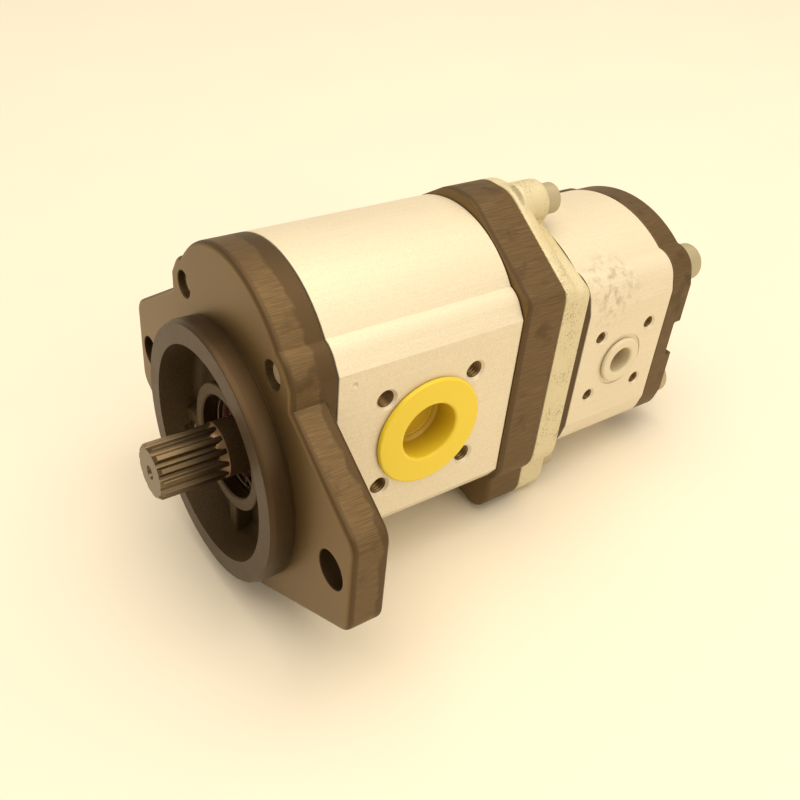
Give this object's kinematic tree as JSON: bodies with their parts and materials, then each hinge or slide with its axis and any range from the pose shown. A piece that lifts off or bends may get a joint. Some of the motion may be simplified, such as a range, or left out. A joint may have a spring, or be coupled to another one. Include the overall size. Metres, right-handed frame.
{
  "type": "hydraulic gear pump",
  "caption": "Tandem external gear pump: black eared mounting flange with a splined shaft, light bodies with flanged side ports, and capped ports.",
  "frame": {"origin": "bottom centre of the whole pump's box", "axes": "+Y along the shaft, away from its splined end; +X out of the inlet ports; +Z from the drive gears to the driven gears"},
  "size_m": [0.17, 0.2382, 0.1433],
  "materials": {
    "cast_black": "black coated casting, milled edges",
    "bare_aluminium": "matt extruded aluminium",
    "cast_aluminium": "speckled light casting",
    "ground_steel": "ground steel",
    "plated_steel": "dull zinc plating",
    "bearing_alloy": "machined bearing aluminium",
    "bronze": "plain bearing bronze",
    "red_rubber": "reddish brown rubber",
    "black_rubber": "black rubber",
    "yellow_plastic": "yellow polyethylene",
    "grey_plastic": "pale grey polyethylene"
  },
  "bodies": {
    "housing": {"front_cover": "cast_black", "intermediate_plate": "cast_black", "rear_stage_front_plate": "cast_black", "rear_cover": "cast_black", "front_body": "bare_aluminium", "rear_body": "bare_aluminium", "adapter_flange": "cast_aluminium", "seal_retaining_ring": "ground_steel", "front_stage_bolt_1": "plated_steel", "front_stage_bolt_2": "plated_steel", "front_stage_bolt_3": "plated_steel", "front_stage_bolt_4": "plated_steel", "adapter_bolt_1": "plated_steel", "adapter_bolt_2": "plated_steel", "adapter_bolt_3": "plated_steel", "rear_stage_bolt_1": "plated_steel", "rear_stage_bolt_2": "plated_steel", "rear_stage_bolt_3": "plated_steel", "rear_stage_bolt_4": "plated_steel", "shaft_seal": "red_rubber", "front_bearing_block_a": "bearing_alloy", "front_bearing_block_b": "bearing_alloy", "front_bush_drive_a": "bronze", "front_bush_drive_b": "bronze", "front_bush_driven_a": "bronze", "front_bush_driven_b": "bronze", "front_body_seal_a": "black_rubber", "front_body_seal_b": "black_rubber", "front_block_seal_a": "black_rubber", "front_block_seal_b": "black_rubber", "rear_bearing_block_a": "bearing_alloy", "rear_bearing_block_b": "bearing_alloy", "rear_bush_drive_a": "bronze", "rear_bush_drive_b": "bronze", "rear_bush_driven_a": "bronze", "rear_bush_driven_b": "bronze", "rear_body_seal_a": "black_rubber", "rear_body_seal_b": "black_rubber", "rear_block_seal_a": "black_rubber", "rear_block_seal_b": "black_rubber"},
    "drive_train": {"front_drive_gear_shaft": "ground_steel", "shaft_coupling": "ground_steel", "rear_drive_gear_shaft": "ground_steel"},
    "front_driven_gear": {"front_driven_gear_shaft": "ground_steel"},
    "rear_driven_gear": {"rear_driven_gear_shaft": "ground_steel"},
    "front_inlet_plug": {"front_inlet_cap": "yellow_plastic"},
    "front_outlet_plug": {"front_outlet_cap": "yellow_plastic"},
    "rear_inlet_plug": {"rear_inlet_cap": "grey_plastic"},
    "rear_outlet_plug": {"rear_outlet_cap": "grey_plastic"}
  },
  "joints": [
    {"name": "drive_shaft_spin", "type": "hinge", "parent": "housing", "child": "drive_train", "pos_m": [0, 0, 0.057], "axis": [0, 1, 0], "continuous": true},
    {"name": "front_driven_spin", "type": "hinge", "parent": "housing", "child": "front_driven_gear", "pos_m": [0, 0, 0.0924], "axis": [0, 1, 0], "continuous": true},
    {"name": "rear_driven_spin", "type": "hinge", "parent": "housing", "child": "rear_driven_gear", "pos_m": [0, 0, 0.0874], "axis": [0, 1, 0], "continuous": true},
    {"name": "front_inlet_cap_pull", "type": "slide", "parent": "housing", "child": "front_inlet_plug", "axis": [1, 0, 0], "range_m": [0, 0.02]},
    {"name": "front_outlet_cap_pull", "type": "slide", "parent": "housing", "child": "front_outlet_plug", "axis": [-1, 0, 0], "range_m": [0, 0.02]},
    {"name": "rear_inlet_cap_pull", "type": "slide", "parent": "housing", "child": "rear_inlet_plug", "axis": [1, 0, 0], "range_m": [0, 0.016]},
    {"name": "rear_outlet_cap_pull", "type": "slide", "parent": "housing", "child": "rear_outlet_plug", "axis": [-1, 0, 0], "range_m": [0, 0.016]}
  ],
  "couplings": [
    {"joint": "front_driven_spin", "follows": "drive_shaft_spin", "ratio": -1},
    {"joint": "rear_driven_spin", "follows": "drive_shaft_spin", "ratio": -1}
  ]
}
